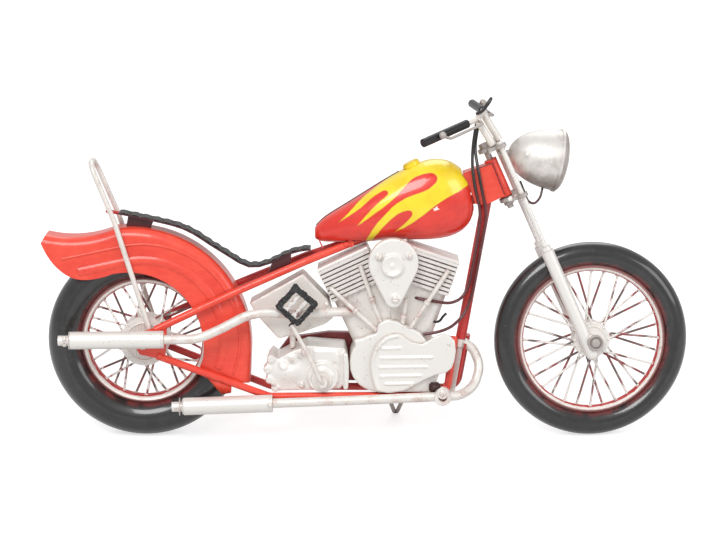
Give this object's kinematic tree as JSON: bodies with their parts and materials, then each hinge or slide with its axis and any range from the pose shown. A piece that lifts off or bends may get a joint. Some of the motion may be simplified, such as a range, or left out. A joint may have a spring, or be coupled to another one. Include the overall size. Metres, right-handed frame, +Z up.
{
  "type": "decorative chopper motorcycle model",
  "caption": "Handmade painted tin and wire model of a long-fork chopper motorcycle with a flame tank, leaning on its side stand, with turning wheels and steering.",
  "frame": {"origin": "middle of the standing bike's bounding box, on the floor", "axes": "+X forward, +Y to the rider's left, +Z up from the floor it stands on"},
  "size_m": [0.3998, 0.1063, 0.2103],
  "materials": {
    "red_paint": "glossy brushed enamel, worn at the edges",
    "silver_paint": "satin aluminium paint with brownish tarnish",
    "black_paint": "satin black paint with rubbed highlights",
    "yellow_paint": "glossy brushed enamel",
    "lens_paint": "dull grey paint"
  },
  "bodies": {
    "frame": {"neck_and_backbone": "red_paint", "down_tube": "red_paint", "engine_mount_bar": "silver_paint", "upper_stay_right": "red_paint", "upper_stay_left": "red_paint", "cradle_right": "red_paint", "cradle_left": "red_paint", "rear_axle": "silver_paint", "fuel_tank": "red_paint", "fuel_cap": "yellow_paint", "seat_pan": "red_paint", "seat_pad": "black_paint", "seat_brackets": "red_paint", "rear_fender": "red_paint", "sissy_bar": "silver_paint", "crankcase": "silver_paint", "cam_cover": "silver_paint", "front_cylinder": "silver_paint", "rear_cylinder": "silver_paint", "rocker_covers": "silver_paint", "pushrod_tubes": "silver_paint", "air_cleaner": "silver_paint", "gearbox": "silver_paint", "oil_tank": "silver_paint", "primary_cover": "red_paint", "kick_starter": "silver_paint", "kick_pedal": "black_paint", "rear_exhaust_pipe": "silver_paint", "upper_muffler": "silver_paint", "front_exhaust_pipe": "silver_paint", "lower_muffler": "silver_paint", "stand_lug": "red_paint", "clutch_cable": "black_paint", "brake_cable": "black_paint"},
    "fork": {"steering_stem": "silver_paint", "fork_yokes": "silver_paint", "fork_tubes": "silver_paint", "fork_slider_right": "silver_paint", "fork_slider_left": "silver_paint", "front_axle": "silver_paint", "handlebar": "silver_paint", "grip_right": "black_paint", "grip_left": "black_paint", "hand_levers": "silver_paint", "lamp_bracket": "silver_paint", "headlamp_shell": "silver_paint", "headlamp_lens": "lens_paint", "lamp_lead": "black_paint", "cable_loop": "black_paint"},
    "front_wheel": {"front_tyre": "black_paint", "front_rim": "silver_paint", "front_hub": "silver_paint"},
    "rear_wheel": {"rear_tyre": "black_paint", "rear_rim": "silver_paint", "rear_hub": "silver_paint"},
    "stand": {"side_stand": "silver_paint"}
  },
  "joints": [
    {"name": "rear_wheel_spin", "type": "hinge", "parent": "frame", "child": "rear_wheel", "pos_m": [-0.1374, -0.01876, 0.05996], "axis": [0, 0.989, -0.1478], "continuous": true},
    {"name": "steering", "type": "hinge", "parent": "frame", "child": "fork", "pos_m": [0.0811, -0.00383, 0.15985], "axis": [-0.4067, 0.135, 0.9035], "range_deg": [-35, 25], "deforming": ["clutch_cable", "brake_cable"]},
    {"name": "front_wheel_spin", "type": "hinge", "parent": "fork", "child": "front_wheel", "pos_m": [0.1396, -0.01769, 0.05978], "axis": [-0.0796, 0.98, -0.1823], "continuous": true},
    {"name": "side_stand_fold", "type": "hinge", "parent": "frame", "child": "stand", "pos_m": [0.0189, -0.01147, 0.01741], "axis": [1, 0, 0], "range_deg": [-140, 0]}
  ]
}
